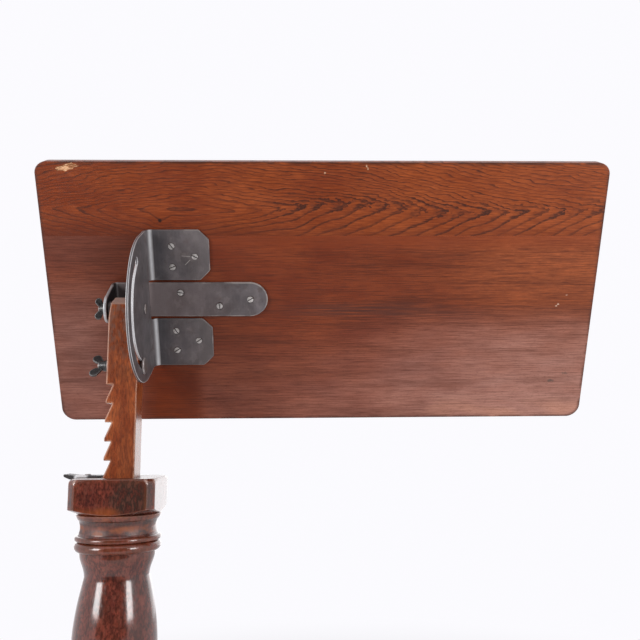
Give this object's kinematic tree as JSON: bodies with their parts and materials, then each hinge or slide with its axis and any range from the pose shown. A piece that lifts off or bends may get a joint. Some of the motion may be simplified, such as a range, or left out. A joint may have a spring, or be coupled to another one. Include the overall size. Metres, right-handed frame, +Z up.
{
  "type": "tilt-top reading table",
  "caption": "Reading table with a wide board carried off-centre on a slotted iron quadrant, tilting on a ratchet post that rises from a turned tripod column and locks with a sliding catch.",
  "frame": {"origin": "on the floor, under the middle of the table's box", "axes": "+X along the board, away from the column; +Y towards the reader, where the board's lower edge is; +Z up"},
  "size_m": [0.8092, 0.5356, 0.9562],
  "materials": {
    "figured_board": "varnished, bold grain",
    "plain_board": "varnished, plain straight grain",
    "post_wood": "oiled, worn edges",
    "column_wood": "polished, dark",
    "leg_wood": "polished, dark",
    "bracket_iron": "dark sheet iron, bright worn edges",
    "catch_iron": "dark sheet iron",
    "spider_iron": "dark sheet iron",
    "screw_steel": "worn bright",
    "bolt_steel": "dull worn",
    "nut_iron": "blackened"
  },
  "bodies": {
    "stand": {"column": "column_wood", "leg_1": "leg_wood", "leg_2": "leg_wood", "leg_3": "leg_wood", "spider_plate": "spider_iron", "spider_screw_1": "screw_steel", "spider_screw_2": "screw_steel", "spider_screw_3": "screw_steel", "spider_screw_4": "screw_steel", "spider_screw_5": "screw_steel", "spider_screw_6": "screw_steel", "catch_screw": "screw_steel"},
    "catch": {"catch_plate": "catch_iron"},
    "post": {"ratchet_post": "post_wood", "pivot_bolt": "bolt_steel", "pivot_spacer": "bolt_steel", "clamp_bolt": "bolt_steel", "clamp_washer": "bolt_steel"},
    "board": {"figured_plank": "figured_board", "plain_plank": "plain_board", "quadrant_plate": "bracket_iron", "pivot_strap": "bracket_iron", "tab_screw_1": "screw_steel", "tab_screw_2": "screw_steel", "tab_screw_3": "screw_steel", "tab_screw_4": "screw_steel", "tab_screw_5": "screw_steel", "tab_screw_6": "screw_steel", "strap_screw_7": "screw_steel", "strap_screw_8": "screw_steel", "strap_screw_9": "screw_steel"},
    "pivot_nut": {"pivot_wing_nut": "nut_iron"},
    "clamp_nut": {"clamp_wing_nut": "nut_iron"}
  },
  "joints": [
    {"name": "post_slide", "type": "slide", "parent": "stand", "child": "post", "axis": [0, 0, 1], "range_m": [-0.0964, 0.1928]},
    {"name": "board_tilt", "type": "hinge", "parent": "post", "child": "board", "pos_m": [-0.24036, 0, 0.7594], "axis": [1, 0, 0], "range_deg": [-8, 132]},
    {"name": "pivot_nut_turn", "type": "hinge", "parent": "post", "child": "pivot_nut", "pos_m": [-0.26796, 0, 0.7594], "axis": [-1, 0, 0], "continuous": true},
    {"name": "clamp_nut_turn", "type": "hinge", "parent": "post", "child": "clamp_nut", "pos_m": [-0.26266, 0, 0.6834], "axis": [-1, 0, 0], "continuous": true},
    {"name": "catch_slide", "type": "slide", "parent": "stand", "child": "catch", "axis": [-1, 0, 0], "range_m": [0, 0.0085]}
  ]
}
